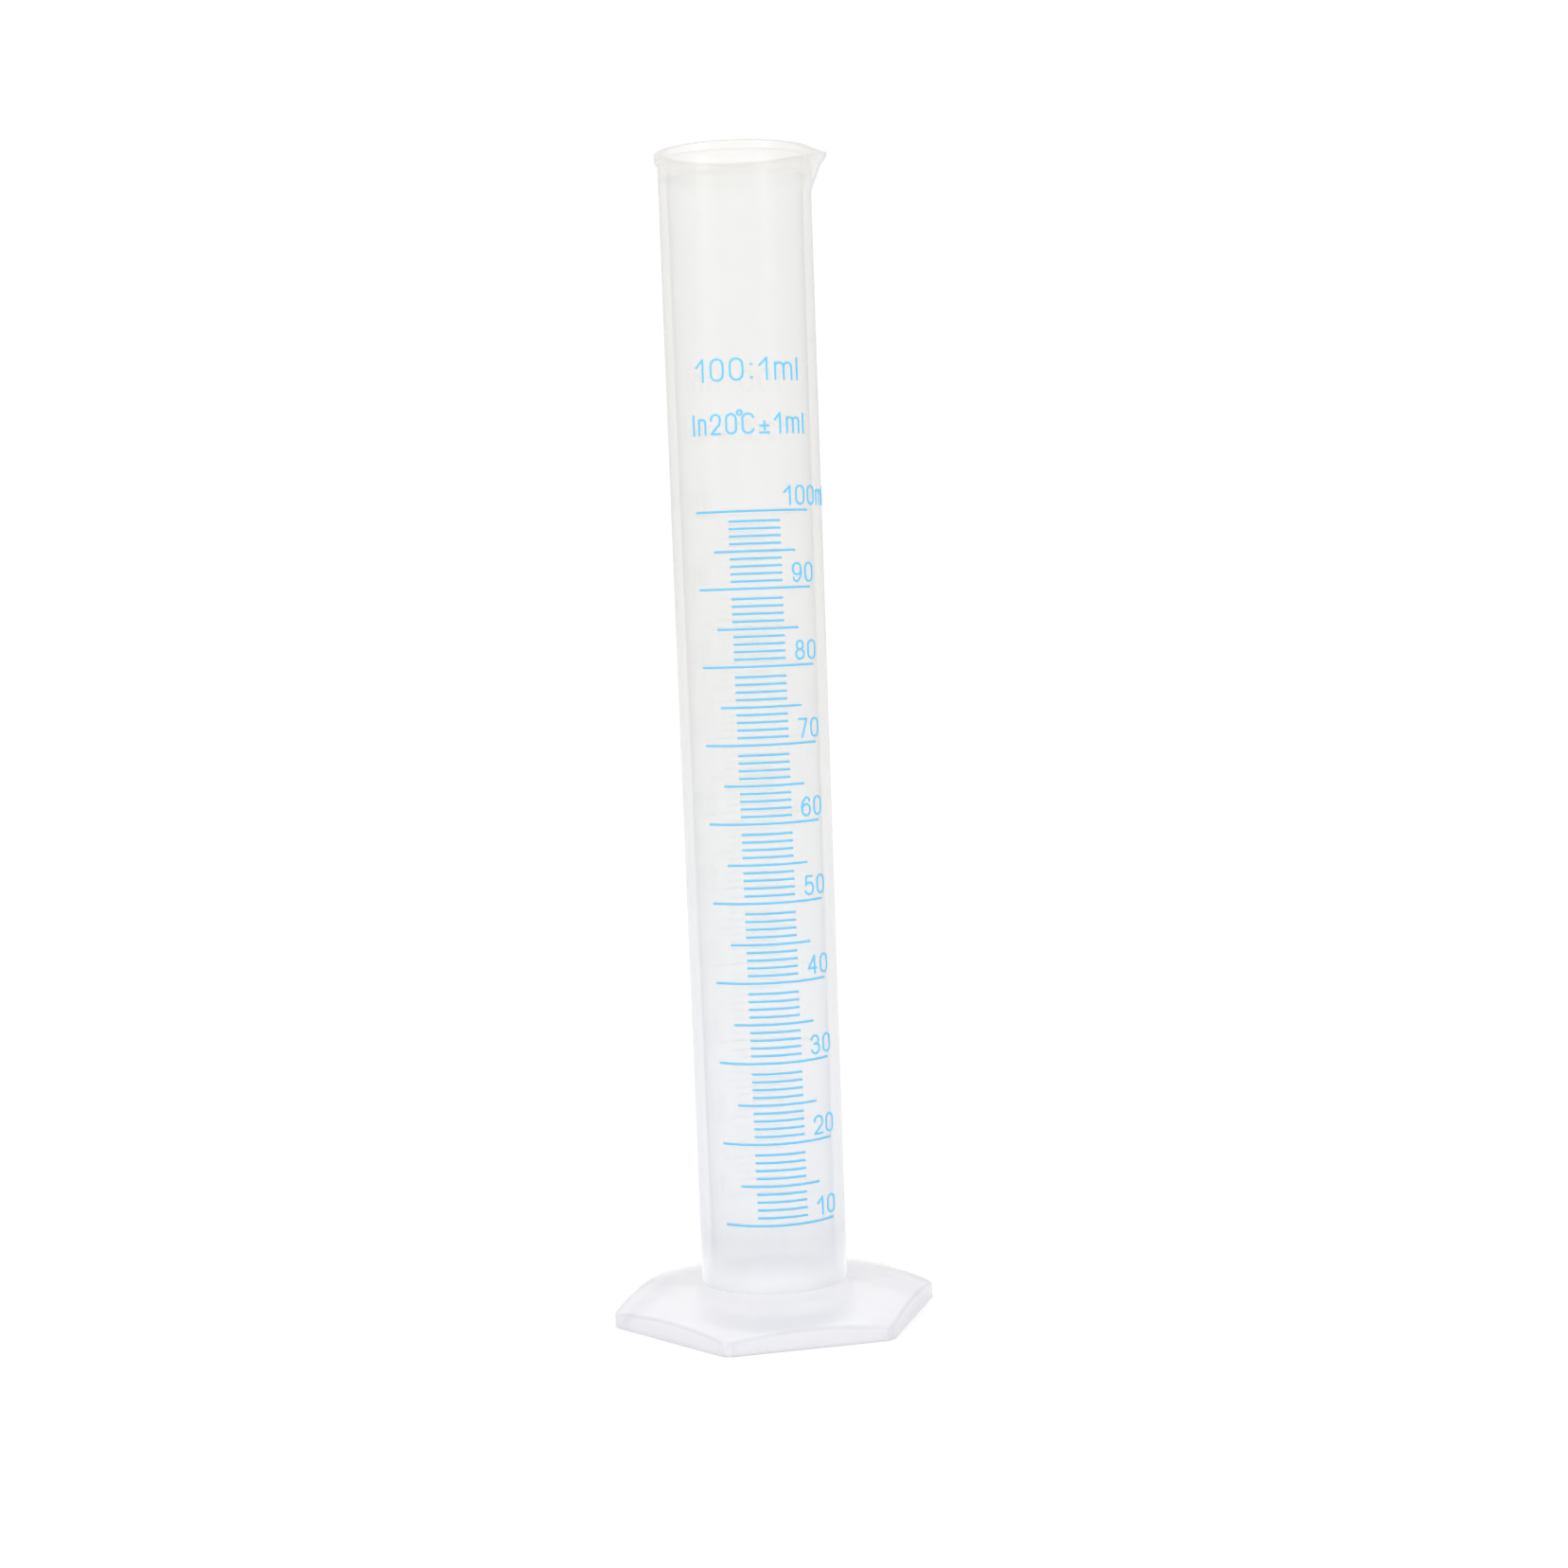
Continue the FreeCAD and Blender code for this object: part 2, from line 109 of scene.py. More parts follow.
# %% [markdown]
# ## Writing a material as a sum
# A material is a graph of nodes, and long graphs are hard to read.  Here a socket is wrapped in a small
# class, so that `0.3 + cloud * 0.1` adds the Math nodes by itself.  Everything else goes through one
# method, `add`, which makes a node of any type, sets it up, and fills or links its sockets.

# %% Node helper
class Value:
    """A socket of a material that can be added, scaled and subtracted."""

    def __init__(self, finish, socket):
        self.finish, self.socket = finish, socket

    def joined(self, operation, first, second):
        return self.finish.add("ShaderNodeMath", {"operation": operation}, {0: first, 1: second})["Value"]

    def __add__(self, other):
        return self.joined("ADD", self, other)

    def __mul__(self, other):
        return self.joined("MULTIPLY", self, other)

    def __sub__(self, other):
        return self.joined("SUBTRACT", self, other)

    def __pow__(self, other):
        return self.joined("POWER", self, other)

    __radd__, __rmul__ = __add__, __mul__


class Finish:
    """A material under construction."""

    def __init__(self, name):
        self.material = bpy.data.materials.new(name)
        self.material.use_nodes = True
        self.tree = self.material.node_tree
        self.tree.nodes.clear()

    def add(self, kind, settings, sockets):
        node = self.tree.nodes.new(kind)
        stops = settings.pop("stops", None)
        for name, value in settings.items():
            setattr(node, name, value)
        for place, (position, colour) in enumerate(stops or ()):
            elements = node.color_ramp.elements
            element = elements[place] if place < 2 else elements.new(position)
            element.position, element.color = position, (*colour, 1.0)
        for key, value in sockets.items():
            if isinstance(value, Value):
                self.tree.links.new(value.socket, node.inputs[key])
            else:
                node.inputs[key].default_value = value
        return {socket.name: Value(self, socket) for socket in node.outputs if socket.enabled}

    def place(self, scale=(1.0, 1.0, 1.0)):
        """The point's place in metres, stretched by scale."""
        point = self.add("ShaderNodeTexCoord", {}, {})["Object"]
        return self.add("ShaderNodeMapping", {}, {"Vector": point, "Scale": scale})["Vector"]

    def noise(self, point, scale, detail=3.0):
        sockets = {"Vector": point, "Scale": scale, "Detail": detail}
        return self.add("ShaderNodeTexNoise", {}, sockets)["Fac"]

    def mix_colours(self, factor, first, second):
        settings = {"data_type": "RGBA"}
        return self.add("ShaderNodeMix", settings, {0: factor, 6: first, 7: second})["Result"]

    def bump(self, height, strength, distance):
        sockets = {"Height": height, "Strength": strength, "Distance": distance}
        return self.add("ShaderNodeBump", {}, sockets)["Normal"]

    def finished(self, shader):
        self.add("ShaderNodeOutputMaterial", {}, {"Surface": shader})
        return self.material


def rgb(*levels):
    """A colour given on a 0 to 255 screen scale, as the linear light that nodes work in."""
    shares = [level / 255 for level in levels]
    return tuple(s / 12.92 if s <= 0.04045 else ((s + 0.055) / 1.055) ** 2.4 for s in shares) + (1.0,)


print("helpers ready; mid grey is", [round(c, 3) for c in rgb(128, 128, 128)[:3]])

# %% [markdown]
# ## Milky polypropylene
# Polypropylene is cloudy rather than clear: each wall scatters part of the light and lets the rest
# through.  Refraction would blur the far scale away, so the cloud is drawn as a pale satin surface that
# is partly see-through (Alpha).  A wall seen edge-on is a longer way through the plastic, so a Layer
# Weight node makes it denser there.  The tube's colour is warm near the mouth, where the wall is thin,
# and cooler towards the thick foot: that is painted light, the warm cast of the light on the upper tube.
# Slow flow marks from moulding run along the part.  Outside and inside walls get their own versions: the
# inner ones are bluer, and nearly invisible except edge-on, where they draw the soft line along each
# side of the bore.  The foot's colour is painted light and shade: pale over the lit top of the dome,
# darker down the sides and low in the hollow, where less light falls.  The thick edges of the foot and
# the fold of the spout have versions of their own, denser because there is more plastic to look through
# where two walls meet; the foot's edges are also darker, a painted shade line along the lower half of
# the rim and at both sides of every corner, where the surface turns.  There is more plastic round the
# solid closed end and at the thick rim too, so the outside is cloudier there.

# %% Plastic
CLOSED_END, MOUTH = (0.009, 0.020), (0.2435, 0.2455)   # heights over which the extra cloud fades
SOLID_TONE = rgb(246, 247, 250)


def milky_plastic(name, heights, bottom, top, sharpness, roughness, shine,
                  solid_end=0.0, mouth=0.0):
    """bottom and top are (colour, cloud, extra cloud edge-on) at the two heights.  solid_end and
    mouth are how much cloudier the plastic is round the closed end and at the rim."""
    finish = Finish(name)
    point = finish.place()
    height = finish.add("ShaderNodeSeparateXYZ", {}, {0: point})["Z"]

    def faded(low, high, span=heights):
        sockets = {"Value": height, "From Min": span[0], "From Max": span[1], "To Min": low, "To Max": high}
        return finish.add("ShaderNodeMapRange", {"interpolation_type": "SMOOTHSTEP"}, sockets)["Result"]

    flow = finish.noise(finish.place((90.0, 90.0, 14.0)), 1.0)
    mottle = finish.noise(point, 160.0)
    colour = finish.mix_colours(faded(0.0, 1.0), bottom[0], top[0])
    if solid_end:
        colour = finish.mix_colours(faded(1.0, 0.0, CLOSED_END), colour, SOLID_TONE)
    shade = 0.992 + flow * 0.016
    tinted = finish.add("ShaderNodeVectorMath", {"operation": "SCALE"}, {0: colour, "Scale": shade})["Vector"]
    facing = finish.add("ShaderNodeLayerWeight", {}, {"Blend": 0.5})["Facing"]
    cloud = faded(bottom[1], top[1]) + (flow - 0.5) * 0.05 + (mottle - 0.5) * 0.015
    density = cloud + facing ** sharpness * faded(bottom[2], top[2])
    density = density + faded(solid_end, 0.0, CLOSED_END) + faded(0.0, mouth, MOUTH)
    shader = finish.add("ShaderNodeBsdfPrincipled", {}, {
        "Base Color": tinted,
        "Roughness": roughness + (mottle - 0.5) * 0.06,
        "IOR": 1.49,
        "Specular IOR Level": shine,
        "Alpha": density,
        "Normal": finish.bump(flow, 0.05, 0.0003),
    })["BSDF"]
    return finish.finished(shader)


TUBE_FADE, FOOT_FADE = (0.01, 0.16), (0.002, 0.006)
# The tube's colours, bottom then top: cooler low down and warm near the mouth, painted light from the warm
# light on the upper tube.
tube_outside = milky_plastic("tube_outside", TUBE_FADE, (rgb(226, 228, 232), 0.42, 0.58),
                             (rgb(227, 226, 223), 0.39, 0.50), 2.6, 0.30, 0.4, 0.24, 0.25)
tube_inside = milky_plastic("tube_inside", TUBE_FADE, (rgb(188, 196, 212), 0.05, 0.60),
                            (rgb(184, 188, 196), 0.05, 0.60), 4.0, 0.45, 0.1)
spout_fold = milky_plastic("spout_fold", TUBE_FADE, (rgb(217, 218, 224), 0.55, 0.40),
                           (rgb(217, 218, 224), 0.55, 0.40), 3.0, 0.30, 0.4)
# The foot's colours, bottom then top: painted shade down the sides and low in the hollow, and a paler top
# painted as lit from above.
foot_outside = milky_plastic("foot_outside", FOOT_FADE, (rgb(236, 235, 240), 0.48, 0.30),
                             (rgb(250, 249, 252), 0.50, 0.30), 3.0, 0.16, 0.5)
foot_inside = milky_plastic("foot_inside", FOOT_FADE, (rgb(226, 229, 240), 0.18, 0.40),
                            (rgb(242, 243, 248), 0.10, 0.40), 2.0, 0.40, 0.1)
# The foot's edges: denser plastic, in a darker colour that is painted shade along the rim and at the corners.
foot_edges_and_shade = milky_plastic("foot_edges_and_shade", FOOT_FADE, (rgb(219, 221, 227), 0.62, 0.30),
                           (rgb(227, 228, 233), 0.56, 0.30), 3.0, 0.16, 0.5)
plastics = tube_outside, tube_inside, spout_fold, foot_outside, foot_inside, foot_edges_and_shade
print("plastics:", [plastic.name for plastic in plastics])

# %% [markdown]
# ## Print and raised marks
# The front scale is a thin coat of light blue ink.  Real ink is never even: it is a little thinner in
# places, so its colour wanders.  The rear scale has no ink: it is the tube's own plastic standing proud,
# drawn as a slightly denser patch whose grey is painted shade, the faint shadows the raised marks make.

# %% Marks
def printed_ink():
    finish = Finish("blue_ink")
    patchy = finish.noise(finish.place(), 420.0)
    speckle = finish.noise(finish.place(), 3000.0, 2.0)
    colour = finish.mix_colours(patchy, rgb(88, 190, 238), rgb(112, 202, 243))
    shader = finish.add("ShaderNodeBsdfPrincipled", {}, {
        "Base Color": colour,
        "Roughness": 0.42 + speckle * 0.15,
        "Normal": finish.bump(speckle, 0.1, 0.0001),
    })["BSDF"]
    return finish.finished(shader)


def raised_plastic():
    finish = Finish("raised_marks")
    mottle = finish.noise(finish.place(), 300.0)
    shader = finish.add("ShaderNodeBsdfPrincipled", {}, {
        # The grey is painted shade: the faint shadows of the raised marks.
        "Base Color": finish.mix_colours(mottle, rgb(196, 198, 204), rgb(206, 208, 213)),
        "Roughness": 0.34 + mottle * 0.1,
        "IOR": 1.49,
        "Alpha": 0.12 + mottle * 0.04,
    })["BSDF"]
    return finish.finished(shader)


blue_ink, raised_marks = printed_ink(), raised_plastic()
for name, node in nodes.items():
    if name.startswith(("front_", "rear_")):
        node.data.materials.clear()
        node.data.materials.append(blue_ink if name.startswith("front_") else raised_marks)
print("marks in ink:", sum(name.startswith("front_") for name in nodes))

# %% [markdown]
# ## Rings of points
# The tube and the foot are both round things that someone has pushed out of round, the tube into a spout
# and the foot into a hexagon.  Both are drawn as rings of points about the axis, each ring stitched to
# the next, so one function makes the skin of either.

# %% Skin from rings
def skin(name, rings, closed, materials, paint):
    """A mesh from rings of points.  closed joins the last ring to the first; if not, the first and the
    last ring are each shut by a fan of triangles to their middle.  paint(step, k) is the number of the
    material of the face after point k of a ring."""
    mesh_maker = bmesh.new()
    made = [[mesh_maker.verts.new(point) for point in ring] for ring in rings]
    count = len(rings[0])
    pairs = list(zip(made, made[1:] + made[:1])) if closed else list(zip(made, made[1:]))
    for step, (lower, upper) in enumerate(pairs):
        for k in range(count):
            after = (k + 1) % count
            face = mesh_maker.faces.new((lower[k], lower[after], upper[after], upper[k]))
            face.material_index = paint(step, k)
    for ring in () if closed else (made[0], made[-1]):
        middle = mesh_maker.verts.new(sum((v.co for v in ring), Vector()) / count)
        for k in range(count):
            mesh_maker.faces.new((middle, ring[k], ring[(k + 1) % count]))
    bmesh.ops.recalc_face_normals(mesh_maker, faces=mesh_maker.faces)
    mesh = bpy.data.meshes.new(name)
    mesh_maker.to_mesh(mesh)
    mesh_maker.free()
    mesh.shade_smooth()
    mesh.set_sharp_from_angle(angle=math.radians(50))
    for material in materials:
        mesh.materials.append(material)
    piece = bpy.data.objects.new(name, mesh)
    bpy.context.scene.collection.objects.link(piece)
    return piece


def hand_over(piece, slot, *replaced):
    """Hang a finished piece under the root body, hide the nodes it replaces and print its face count."""
    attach(piece, "root")
    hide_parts(*replaced)
    print(piece.name, "has", len(piece.data.polygons), "faces")


# %% [markdown]
# ## The measuring tube
# The tube widens slightly towards its mouth, so that it could leave its mould, and its wall is thicker
# at the foot.  The spout is a V pressed out of the top: seen from above, two straight lines that leave
# the circle as tangents and meet in a rounded nose.  At any height the wall is wherever the circle or
# the V lies further out, and a soft maximum of the two gives the moulded blend between them.

# %% Tube sizes
HEIGHT = cad_high.z
TUBE_RADIUS, TUBE_FLARE = 15.85 * MM, 0.35 * MM
WALL_LOW, WALL_HIGH = 2.48 * MM, 1.8 * MM
TUBE_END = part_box("measuring_tube")[0].z
FLOOR = TUBE_END + 2.4 * MM
END_ROUND, BORE_ROUND = 1.5 * MM, 2.0 * MM
BAND_HEIGHT, BAND_STEP = 2.8 * MM, 0.7 * MM
BAND_ROUND, RIM_ROUND = 0.9 * MM, 0.55 * MM
LIP_STEP = 0.5 * MM
SPOUT_DROP = 10.0 * MM
NOSE, NOSE_TRIM = 0.022, 0.31 * MM
SPOUT_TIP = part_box("measuring_tube")[1].x - LIP_STEP + NOSE_TRIM
BLEND = 0.35 * MM
AROUND, FOLD_STEPS = 360, 5


def outside(z):
    return TUBE_RADIUS + TUBE_FLARE * z / HEIGHT


def bore(z):
    share = (z - FLOOR) / (HEIGHT - FLOOR)
    low = outside(FLOOR) - WALL_LOW
    return low + (outside(HEIGHT) - WALL_HIGH - low) * share


SPOUT_HALF = math.asin(outside(HEIGHT) / SPOUT_TIP)
print("the spout opens by", round(2 * math.degrees(SPOUT_HALF)), "degrees")


# %% Tube surface
def soft_max(first, second):
    return (first + second + math.hypot(first - second, BLEND)) / 2


def spout(angle, z, start, tip, lip):
    """Distance from the axis to the V at this angle and height."""
    lift = (z - (HEIGHT - SPOUT_DROP)) / SPOUT_DROP
    lean = math.hypot(angle, NOSE) - (math.pi / 2 - SPOUT_HALF)
    if lift <= 0:
        return 0.0
    away = (start + (tip - start) * lift) * math.sin(SPOUT_HALF) + lip
    return away / math.cos(lean) if lean < 0 else away * math.cos(min(lean, math.pi / 2))


def tube_ring(z, wall, band=0.0, shrink=0.0):
    """One ring of the tube.  wall is 0 outside and 1 inside; band is how much of the rim band there is."""
    inside_tip = SPOUT_TIP - WALL_HIGH / math.sin(SPOUT_HALF)
    base = bore(z) if wall else outside(z) + BAND_STEP * band
    start, tip = (bore(z), inside_tip) if wall else (outside(z), SPOUT_TIP)
    ring = []
    for k in range(AROUND):
        angle = math.remainder(math.tau * k / AROUND, math.tau)
        reach = soft_max(base, spout(angle, z, start, tip, LIP_STEP * band * math.sin(SPOUT_HALF)))
        reach -= shrink
        ring.append((reach * math.cos(angle), reach * math.sin(angle), z))
    return ring


def quarter(steps):
    """Sine and cosine along a quarter turn."""
    turns = [math.pi / 2 * k / steps for k in range(steps + 1)]
    return [(math.sin(t), math.cos(t)) for t in turns]


def heights(low, high, steps):
    return [low + (high - low) * k / steps for k in range(steps + 1)]


def tube_rings():
    """All the rings, up the outside and down the bore, and the numbers of the first and last bore ring."""
    rings = []
    for sine, cosine in quarter(6):
        rings.append(tube_ring(TUBE_END + END_ROUND * (1 - cosine), 0, shrink=END_ROUND * (1 - sine)))
    spout_foot = HEIGHT - SPOUT_DROP
    band_foot = HEIGHT - BAND_HEIGHT
    rings += [tube_ring(z, 0) for z in heights(TUBE_END + 2 * END_ROUND, spout_foot - 2 * MM, 24)]
    rings += [tube_ring(z, 0) for z in heights(spout_foot - 1 * MM, band_foot, 14)]
    for sine, cosine in quarter(6)[1:]:
        rings.append(tube_ring(band_foot + BAND_ROUND * sine, 0, band=1 - cosine))
    for sine, cosine in quarter(6):
        rings.append(tube_ring(HEIGHT - RIM_ROUND * (1 - sine), 0, band=1.0, shrink=RIM_ROUND * (1 - cosine)))
    down = [tube_ring(HEIGHT - RIM_ROUND * (1 - cosine), 1, shrink=RIM_ROUND * (sine - 1))
            for sine, cosine in quarter(5)]
    down += [tube_ring(z, 1) for z in heights(HEIGHT - 1 * MM, spout_foot - 1 * MM, 14)]
    down += [tube_ring(z, 1) for z in heights(spout_foot - 2 * MM, FLOOR + 2 * BORE_ROUND, 24)]
    bore_rings = (len(rings), len(rings) + len(down) - 1)
    for sine, cosine in quarter(6):
        down.append(tube_ring(FLOOR + BORE_ROUND * (1 - sine), 1, shrink=BORE_ROUND * (1 - cosine)))
    return rings + down, bore_rings


def tube_paint(step, k):
    """1 in the bore, 2 on the fold that runs down the nose of the spout, 0 on the rest."""
    if bore_from <= step < bore_to:
        return 1
    on_spout = step < bore_from and rings[step][0][2] > HEIGHT - SPOUT_DROP
    return 2 if on_spout and min(k, AROUND - 1 - k) < FOLD_STEPS else 0


rings, (bore_from, bore_to) = tube_rings()
tube = skin("moulded_tube", rings, False, (tube_outside, tube_inside, spout_fold), tube_paint)
hand_over(tube, "tube_plastic", "measuring_tube")

# %% [markdown]
# ## The hexagonal foot
# The foot is a shallow hexagonal shell, domed on top like a watch glass and open underneath.  Its
# outline is a formula too: along a flat the edge is a straight line, and at a corner it is an arc.
# Angles are packed closely round the corners, so the arcs stay round.  The skin goes once around the
# section: over the dome, down the side, back under the dome, and round the collar that holds the tube.

# %% Foot sizes
FLAT = cad_high.y
CORNER = 3.0 * MM
DOME_TOP, DOME_RADIUS = 9.0 * MM, 112.0 * MM
SHELL = 1.8 * MM
SIDE_FOOT, HOLLOW_STEPS = 1.8 * MM, 12
EDGE_ROUND = 0.9 * MM
FOOT_EDGE = 0.25 * MM
COLLAR_WALL, COLLAR_GAP = 1.2 * MM, 0.8 * MM
LEDGE = 2.6 * MM
SEAT_GAP = 0.05 * MM
SIXTH = math.pi / 3
DOME_STEPS, RIM_STEPS, CORNER_STEPS = 14, 7, 16


def dome(distance, sink=0.0):
    return DOME_TOP - DOME_RADIUS + math.sqrt((DOME_RADIUS - sink) ** 2 - distance ** 2)


def hexagon(angle, inset):
    """Distance from the axis to the hexagon's edge.  There is a corner at angle zero."""
    flat, corner = FLAT - inset, max(CORNER - inset, CORNER / 4)
    from_corner = abs(math.remainder(angle, SIXTH))
    from_flat = math.pi / 6 - from_corner
    middle = (flat - corner) / math.cos(math.pi / 6)
    if math.tan(from_flat) * flat <= (flat - corner) * math.tan(math.pi / 6):
        return flat / math.cos(from_flat)
    return middle * math.cos(from_corner) + math.sqrt(corner ** 2 - (middle * math.sin(from_corner)) ** 2)


def foot_angles():
    """Angles about the axis, close together at the corners."""
    start = math.pi / 6 - math.atan((FLAT - CORNER) * math.tan(math.pi / 6) / FLAT)
    angles = []
    for sector in range(6):
        corner = sector * SIXTH
        angles += [corner + start * (2 * k / CORNER_STEPS - 1) for k in range(CORNER_STEPS)]
        angles += [corner + SIXTH / 2 - (SIXTH / 2 - start) * math.cos(math.pi * k / CORNER_STEPS)
                   for k in range(CORNER_STEPS)]
    return angles


# %% Foot surface
def foot_ring(reach, level):
    """reach and level give a point of the ring from its angle."""
    ring = []
    for angle in foot_angles():
        distance = reach(angle)
        ring.append((distance * math.cos(angle), distance * math.sin(angle), level(distance)))
    return ring


def over_dome(share, edge, seat, sink):
    """A ring on the dome, or under it, a share of the way from the seat out to the edge."""
    return foot_ring(lambda a: seat + (edge(a) - seat) * share, lambda d: dome(d, sink))


def foot_rings():
    """The rings over the outside, and the rings back through the hollow and the socket."""
    seat = outside(DOME_TOP) + SEAT_GAP
    collar = seat + COLLAR_WALL
    opening = outside(TUBE_END) - LEDGE
    rim = lambda a: hexagon(a, 0.0) - EDGE_ROUND
    wall = lambda a: hexagon(a, SHELL)
    rings = [over_dome(k / DOME_STEPS, rim, seat, 0.0) for k in range(DOME_STEPS)]
    for sine, cosine in quarter(RIM_STEPS):
        rings.append(foot_ring(lambda a: rim(a) + EDGE_ROUND * sine,
                               lambda d: dome(d) - EDGE_ROUND * (1 - cosine)))
    side = lambda inset, z: foot_ring(lambda a: hexagon(a, 0.0) - inset, lambda d: z)
    rings += [side(0.0, SIDE_FOOT), side(0.0, 2 * FOOT_EDGE)]
    rings += [side(FOOT_EDGE * (1 - cosine), FOOT_EDGE * (1 - sine)) for sine, cosine in quarter(4)]
    hollow = [foot_ring(wall, lambda d: z) for z in (0.0, 0.2 * MM, 1.0 * MM)]
    hollow += [over_dome(1 - k / HOLLOW_STEPS, wall, collar, SHELL) for k in range(HOLLOW_STEPS + 1)]
    circle = lambda radius, z: foot_ring(lambda a: radius, lambda d: z)
    hollow += [circle(collar, z) for z in (2.5 * MM, COLLAR_GAP + 0.1 * MM, COLLAR_GAP)]
    hollow += [circle(opening, z) for z in (COLLAR_GAP, TUBE_END)]
    hollow += [circle(outside(TUBE_END) + SEAT_GAP, TUBE_END), circle(seat, dome(seat) - 0.2 * MM)]
    return rings, hollow


def foot_paint(step, k):
    """2 on the thick edges, where the plastic is denser and the colour is darker as painted shade: the lower
    half of the rounded rim, and both sides of every corner.
    """
    on_rim = DOME_STEPS + RIM_STEPS // 2 <= step < DOME_STEPS + RIM_STEPS
    on_side = DOME_STEPS + RIM_STEPS <= step < len(outer_rings)
    along = k % (2 * CORNER_STEPS)
    if on_rim or on_side and min(along, abs(CORNER_STEPS - 1 - along)) < 2:
        return 2
    return int(step >= len(outer_rings))


outer_rings, inner_rings = foot_rings()
foot = skin("moulded_foot", outer_rings + inner_rings, True,
            (foot_outside, foot_inside, foot_edges_and_shade), foot_paint)
hand_over(foot, "foot_plastic", "hexagonal_foot")

# %% [markdown]
# ## Graduation lines
# There are ninety-one lines on each scale.  They repeat, so Geometry Nodes make them: one short bar bent
# to the tube's curve is put at every height and turned and widened to fit there.  The heights and angles
# are measured on the frame's own marks, because the engineering model places them by volume.

# %% Measure the marks
LINE_WIDTH, INK_THICKNESS = 0.42 * MM, 0.12 * MM


def measured_lines(node):
    """Height, middle angle and half angle of every line in one node of the frame."""
    rows = {}
    for vertex in nodes[node].data.vertices:
        rows.setdefault(round(vertex.co.z, 6), []).append(math.atan2(vertex.co.y, vertex.co.x))
    levels = sorted(rows)
    lines = []
    for low, high in zip(levels[::2], levels[1::2]):
        first = rows[low][0]
        turns = [math.remainder(angle - first, math.tau) for angle in rows[low]]
        lines.append(((low + high) / 2, first + (min(turns) + max(turns)) / 2, (max(turns) - min(turns)) / 2))
    return lines


first_line = measured_lines("front_ten_ml_lines")[0]
print("first ten ml line (height, middle, half):", [round(v, 4) for v in first_line])


# %% Geometry Nodes for one rank of lines
def line_tree():
    """Node group: points up the axis in, curved bars on the tube out."""
    tree = bpy.data.node_groups.new("graduation_lines", "GeometryNodeTree")
    socket = tree.interface.new_socket
    socket("Geometry", in_out="INPUT", socket_type="NodeSocketGeometry")
    for name in ("Half Angle", "Bar Radius", "Line Width", "Ink Thickness"):
        socket(name, in_out="INPUT", socket_type="NodeSocketFloat")
    socket("Ink", in_out="INPUT", socket_type="NodeSocketMaterial")
    socket("Geometry", in_out="OUTPUT", socket_type="NodeSocketGeometry")

    def node(kind, settings=None, **sockets):
        made = tree.nodes.new(kind)
        for name, value in (settings or {}).items():
            setattr(made, name, value)
        for name, value in sockets.items():
            target = made.inputs[name.replace("_", " ")]
            if isinstance(value, bpy.types.NodeSocket):
                tree.links.new(value, target)
            else:
                target.default_value = value
        return made.outputs[0]

    given = tree.nodes.new("NodeGroupInput").outputs
    negative = node("ShaderNodeMath", {"operation": "MULTIPLY"}, Value=given["Half Angle"])
    negative.node.inputs[1].default_value = -1.0
    sweep = node("ShaderNodeMath", {"operation": "MULTIPLY"}, Value=given["Half Angle"])
    sweep.node.inputs[1].default_value = 2.0
    arc = node("GeometryNodeCurveArc", Resolution=49, Radius=given["Bar Radius"],
               Start_Angle=negative, Sweep_Angle=sweep)
    section = node("GeometryNodeCurvePrimitiveQuadrilateral", Width=given["Ink Thickness"],
                   Height=given["Line Width"])
    bar = node("GeometryNodeCurveToMesh", Curve=arc, Profile_Curve=section, Fill_Caps=True)
    turn = node("GeometryNodeInputNamedAttribute", {"data_type": "FLOAT_VECTOR"}, Name="turn")
    spread = node("GeometryNodeInputNamedAttribute", {"data_type": "FLOAT_VECTOR"}, Name="spread")
    bars = node("GeometryNodeInstanceOnPoints", Points=given["Geometry"], Instance=bar,
                Rotation=turn, Scale=spread)
    real = node("GeometryNodeRealizeInstances", Geometry=bars)
    inked = node("GeometryNodeSetMaterial", Geometry=real, Material=given["Ink"])
    tree.links.new(inked, tree.nodes.new("NodeGroupOutput").inputs["Geometry"])
    return tree


def scale_lines(tree, side, rank, ink, slot):
    """All the lines of one rank on one side, as one plain mesh."""
    node = f"{side}_{rank}_ml_lines"
    lines = measured_lines(node)
    bar_radius = outside(HEIGHT / 2) + INK_THICKNESS / 2
    points = bpy.data.meshes.new("line_points")
    points.from_pydata([(0, 0, level) for level, _, _ in lines], [], [])
    turn = points.attributes.new("turn", "FLOAT_VECTOR", "POINT")
    spread = points.attributes.new("spread", "FLOAT_VECTOR", "POINT")
    for k, (level, middle, _) in enumerate(lines):
        fit = (outside(level) + INK_THICKNESS / 2) / bar_radius
        turn.data[k].vector = (0, 0, middle)
        spread.data[k].vector = (fit, fit, 1)
    holder = bpy.data.objects.new("line_holder", points)
    bpy.context.scene.collection.objects.link(holder)
    maker = holder.modifiers.new("lines", "NODES")
    maker.node_group = tree
    values = {"Half Angle": lines[0][2], "Bar Radius": bar_radius, "Line Width": LINE_WIDTH,
              "Ink Thickness": INK_THICKNESS, "Ink": ink}
    for item in tree.interface.items_tree:
        if item.in_out == "INPUT" and item.name in values:
            maker[item.identifier] = values[item.name]
    ready = holder.evaluated_get(bpy.context.evaluated_depsgraph_get())
    mesh = bpy.data.meshes.new_from_object(ready)
    bpy.data.objects.remove(holder)
    piece = bpy.data.objects.new(f"{rank}_ml_graduations_{side}", mesh)
    bpy.context.scene.collection.objects.link(piece)
    hand_over(piece, slot, node)
    return piece


lines_by_nodes = line_tree()
for side, ink, slot in (("front", blue_ink, "blue_print"), ("rear", raised_marks, "raised_marks")):
    for rank in ("ten", "five", "one"):
        scale_lines(lines_by_nodes, side, rank, ink, slot)

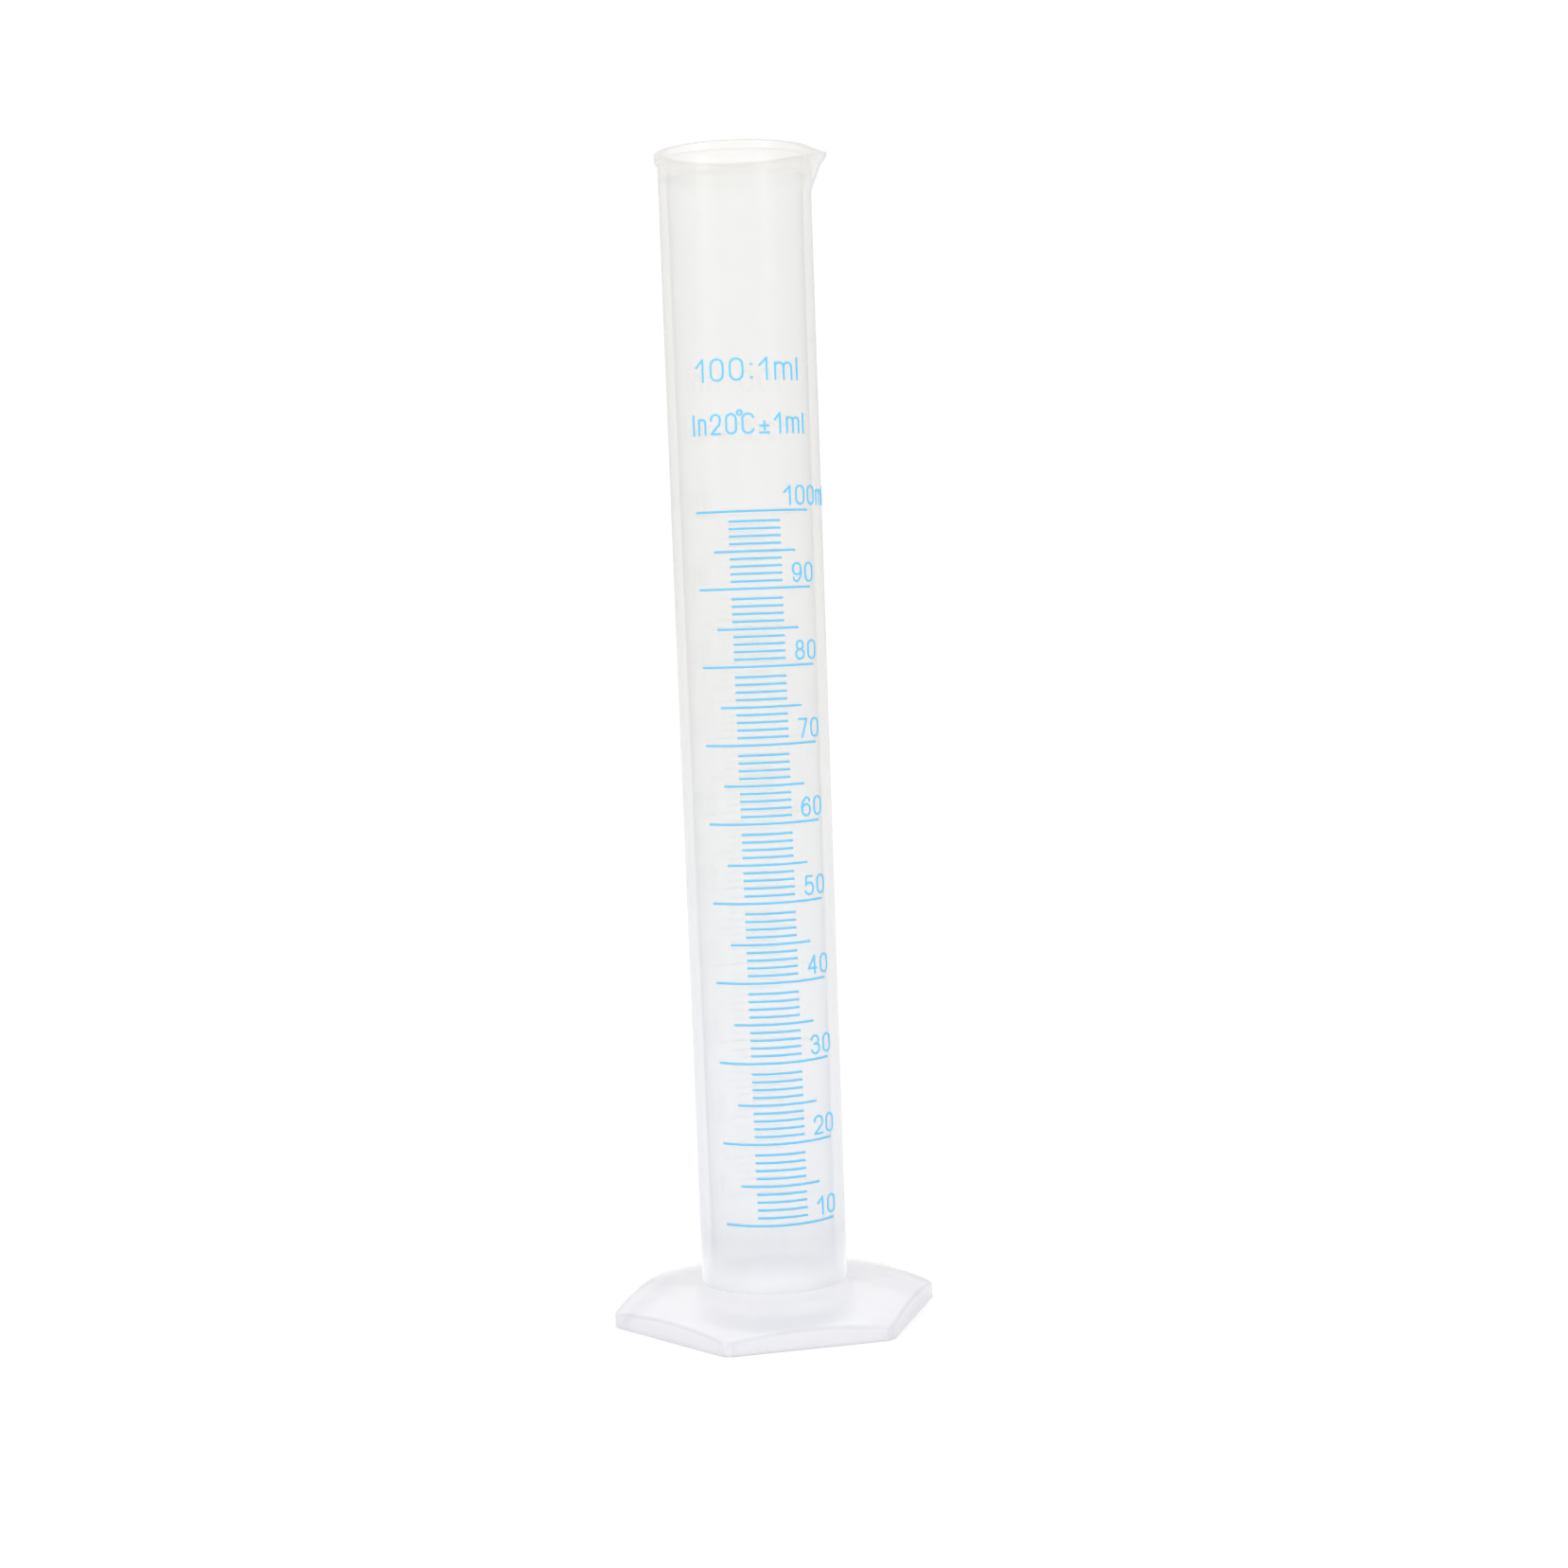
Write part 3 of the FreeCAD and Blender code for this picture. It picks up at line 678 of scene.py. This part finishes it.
# %% [markdown]
# ## Floor and light
# The setting is a plain white sweep.  A white room lights everything, a little more from above than from
# the sides, and two soft boxes high in front give the satin wall its two upright highlights.  The floor
# glows a little, so that it stays as white as the background.  A ray that looks through the foot and the
# tube meets more see-through walls than Blender allows by default, so it is allowed more.

# %% Stage
BOX_DISTANCE, BOX_HEIGHT = 1.0, 0.55
BOX_WIDTH, BOX_TALL = 0.22, 0.45
BOX_COLOUR = (1.0, 0.99, 0.97)
FLOOR_HALF = 12.0


def make_floor():
    finish = Finish("floor_white")
    tone = finish.noise(finish.place(), 3.0)
    shader = finish.add("ShaderNodeBsdfPrincipled", {}, {
        "Base Color": finish.mix_colours(tone, rgb(247, 247, 247), rgb(250, 250, 250)),
        "Roughness": 0.9,
        "Emission Color": rgb(255, 255, 255),
        "Emission Strength": 0.05,
    })["BSDF"]
    material = finish.finished(shader)
    mesh = bpy.data.meshes.new("floor")
    corners = [(FLOOR_HALF * x, FLOOR_HALF * y, 0) for x, y in ((-1, -1), (1, -1), (1, 1), (-1, 1))]
    mesh.from_pydata(corners, [], [(0, 1, 2, 3)])
    mesh.materials.append(material)
    floor = bpy.data.objects.new("floor", mesh)
    floor.location.z = -0.0001
    bpy.context.scene.collection.objects.link(floor)
    return floor


def make_world(sides, overhead, seen):
    """A white room: how bright it lights from the sides and from above, and how bright it is seen."""
    world = bpy.data.worlds.new("white_room")
    world.use_nodes = True
    tree = world.node_tree
    background = tree.nodes["Background"]
    background.inputs["Color"].default_value = (1.0, 1.0, 1.0, 1.0)
    way = tree.nodes.new("ShaderNodeTexCoord")
    parts = tree.nodes.new("ShaderNodeSeparateXYZ")
    lighting = tree.nodes.new("ShaderNodeMapRange")
    lighting.inputs["To Min"].default_value, lighting.inputs["To Max"].default_value = sides, overhead
    path = tree.nodes.new("ShaderNodeLightPath")
    strength = tree.nodes.new("ShaderNodeMapRange")
    strength.inputs["To Max"].default_value = seen
    tree.links.new(way.outputs["Generated"], parts.inputs[0])
    tree.links.new(parts.outputs["Z"], lighting.inputs["Value"])
    tree.links.new(lighting.outputs["Result"], strength.inputs["To Min"])
    tree.links.new(path.outputs["Is Camera Ray"], strength.inputs["Value"])
    tree.links.new(strength.outputs["Result"], background.inputs["Strength"])
    bpy.context.scene.world = world


def soft_box(name, azimuth, power):
    """A rectangular light that faces the middle of the cylinder."""
    data = bpy.data.lights.new(name, "AREA")
    data.shape, data.size, data.size_y = "RECTANGLE", BOX_WIDTH, BOX_TALL
    data.energy, data.color = power, BOX_COLOUR
    light = bpy.data.objects.new(name, data)
    turn = math.radians(azimuth)
    place = Vector((math.sin(turn) * BOX_DISTANCE, -math.cos(turn) * BOX_DISTANCE, BOX_HEIGHT))
    light.location = place
    light.rotation_mode = "QUATERNION"
    light.rotation_quaternion = (Vector((0, 0, HEIGHT / 2)) - place).to_track_quat("-Z", "Y")
    bpy.context.scene.collection.objects.link(light)
    return light


make_floor()
make_world(sides=0.55, overhead=1.27, seen=1.02)
view_azimuth = math.degrees(CAMERA_AZIMUTH)
soft_box("left_box", view_azimuth - 48, power=2.4)
soft_box("right_box", view_azimuth + 45, power=1.9)
bpy.context.scene.view_settings.view_transform = "Standard"
bpy.context.scene.cycles.transparent_max_bounces = 32
